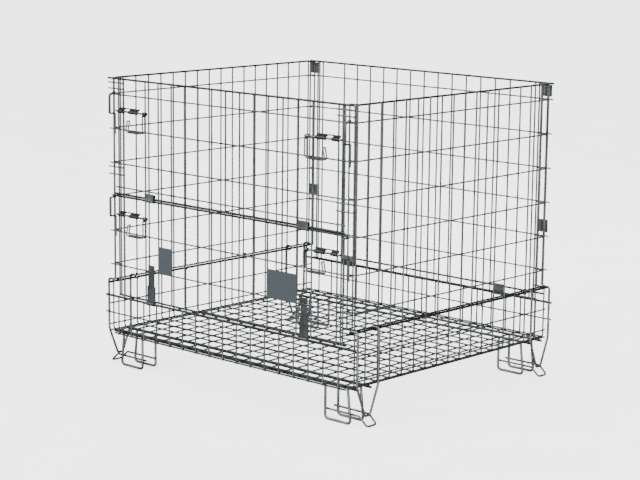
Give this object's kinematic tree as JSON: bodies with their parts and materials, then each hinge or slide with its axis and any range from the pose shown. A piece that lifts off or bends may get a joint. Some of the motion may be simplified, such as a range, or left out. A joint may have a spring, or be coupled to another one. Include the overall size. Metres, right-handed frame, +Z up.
{
  "type": "folding wire mesh container",
  "caption": "Folding steel wire mesh container on wire feet with a split drop front, fold-in sides, a drop back and slide bolts.",
  "frame": {"origin": "centre of the outline on the floor, under the middle of the tray", "axes": "+X along the long front towards its right end, +Y from the gated front to the back, +Z up"},
  "size_m": [1.202, 1.029, 1.005],
  "materials": {
    "zinc_wire": "bright zinc plating, satin",
    "zinc_sheet": "zinc plated sheet, satin",
    "dark_plate": "dark blue-grey, matt"
  },
  "bodies": {
    "tray": {"back_left_foot_loops": "zinc_wire", "back_left_leg_vee": "zinc_wire", "back_left_toe_hairpin": "zinc_wire", "back_right_foot_loops": "zinc_wire", "back_right_leg_vee": "zinc_wire", "back_right_toe_hairpin": "zinc_wire", "back_upstand_bars": "zinc_wire", "back_upstand_rails": "zinc_wire", "front_left_foot_loops": "zinc_wire", "front_left_leg_vee": "zinc_wire", "front_left_toe_hairpin": "zinc_wire", "front_right_foot_loops": "zinc_wire", "front_right_leg_vee": "zinc_wire", "front_right_toe_hairpin": "zinc_wire", "front_upstand_bars": "zinc_wire", "front_upstand_rails": "zinc_wire", "left_upstand_rails": "zinc_wire", "right_upstand_rails": "zinc_wire", "tray_bent_wires": "zinc_wire", "tray_cross_wires": "zinc_wire", "tray_runners": "zinc_wire"},
    "left_panel": {"left_panel_bars": "zinc_wire", "left_panel_hinge_hooks": "zinc_wire", "left_panel_lines": "zinc_wire", "left_panel_rods": "zinc_wire"},
    "right_panel": {"right_panel_bars": "zinc_wire", "right_panel_hinge_hooks": "zinc_wire", "right_panel_lines": "zinc_wire", "right_panel_rods": "zinc_wire"},
    "back_panel": {"back_panel_bars": "zinc_wire", "back_panel_corner_plates": "zinc_sheet", "back_panel_hinge_clips": "zinc_sheet", "back_panel_lines": "zinc_wire", "back_panel_rods": "zinc_wire"},
    "lower_gate": {"lower_gate_bars": "zinc_wire", "lower_gate_hinge_straps": "zinc_sheet", "lower_gate_label_plates": "dark_plate", "lower_gate_lines": "zinc_wire", "lower_gate_rods": "zinc_wire", "lower_gate_staples": "zinc_wire", "lower_latch_guides": "zinc_wire"},
    "upper_gate": {"upper_gate_bars": "zinc_wire", "upper_gate_hinge_clips": "zinc_sheet", "upper_gate_lines": "zinc_wire", "upper_gate_rods": "zinc_wire", "upper_gate_staples": "zinc_wire", "upper_latch_guides": "zinc_wire"},
    "upper_left_bolt": {"upper_left_latch_bolt": "zinc_wire"},
    "upper_left_handle": {"upper_left_latch_handle": "zinc_wire"},
    "upper_right_bolt": {"upper_right_latch_bolt": "zinc_wire"},
    "upper_right_handle": {"upper_right_latch_handle": "zinc_wire"},
    "lower_left_bolt": {"lower_left_latch_bolt": "zinc_wire"},
    "lower_left_handle": {"lower_left_latch_handle": "zinc_wire"},
    "lower_right_bolt": {"lower_right_latch_bolt": "zinc_wire"},
    "lower_right_handle": {"lower_right_latch_handle": "zinc_wire"}
  },
  "joints": [
    {"name": "lower_gate_drop", "type": "hinge", "parent": "tray", "child": "lower_gate", "pos_m": [0, -0.4934, 0.2495], "axis": [1, 0, 0], "range_deg": [0, 90]},
    {"name": "upper_gate_drop", "type": "hinge", "parent": "lower_gate", "child": "upper_gate", "pos_m": [0, -0.49465, 0.6015], "axis": [-1, 0, 0], "range_deg": [-150, 0]},
    {"name": "back_panel_drop", "type": "hinge", "parent": "tray", "child": "back_panel", "pos_m": [0, 0.5025, 0.2495], "axis": [-1, 0, 0], "range_deg": [0, 90]},
    {"name": "left_panel_fold", "type": "hinge", "parent": "tray", "child": "left_panel", "pos_m": [-0.55455, 0.00455, 0.298], "axis": [0, 1, 0], "range_deg": [0, 85]},
    {"name": "right_panel_fold", "type": "hinge", "parent": "tray", "child": "right_panel", "pos_m": [0.55455, 0.00455, 0.298], "axis": [0, 1, 0], "range_deg": [-85, 0]},
    {"name": "upper_left_bolt_slide", "type": "slide", "parent": "upper_gate", "child": "upper_left_bolt", "axis": [-1, 0, 0], "range_m": [0, 0.027]},
    {"name": "upper_left_handle_swing", "type": "hinge", "parent": "upper_left_bolt", "child": "upper_left_handle", "pos_m": [-0.3735, -0.50145, 0.894], "axis": [-1, 0, 0], "range_deg": [0, 120]},
    {"name": "upper_right_bolt_slide", "type": "slide", "parent": "upper_gate", "child": "upper_right_bolt", "axis": [1, 0, 0], "range_m": [0, 0.027]},
    {"name": "upper_right_handle_swing", "type": "hinge", "parent": "upper_right_bolt", "child": "upper_right_handle", "pos_m": [0.3735, -0.50145, 0.894], "axis": [-1, 0, 0], "range_deg": [0, 120]},
    {"name": "lower_left_bolt_slide", "type": "slide", "parent": "lower_gate", "child": "lower_left_bolt", "axis": [-1, 0, 0], "range_m": [0, 0.027]},
    {"name": "lower_left_handle_swing", "type": "hinge", "parent": "lower_left_bolt", "child": "lower_left_handle", "pos_m": [-0.3735, -0.50145, 0.54], "axis": [-1, 0, 0], "range_deg": [0, 120]},
    {"name": "lower_right_bolt_slide", "type": "slide", "parent": "lower_gate", "child": "lower_right_bolt", "axis": [1, 0, 0], "range_m": [0, 0.027]},
    {"name": "lower_right_handle_swing", "type": "hinge", "parent": "lower_right_bolt", "child": "lower_right_handle", "pos_m": [0.3735, -0.50145, 0.54], "axis": [-1, 0, 0], "range_deg": [0, 120]}
  ]
}
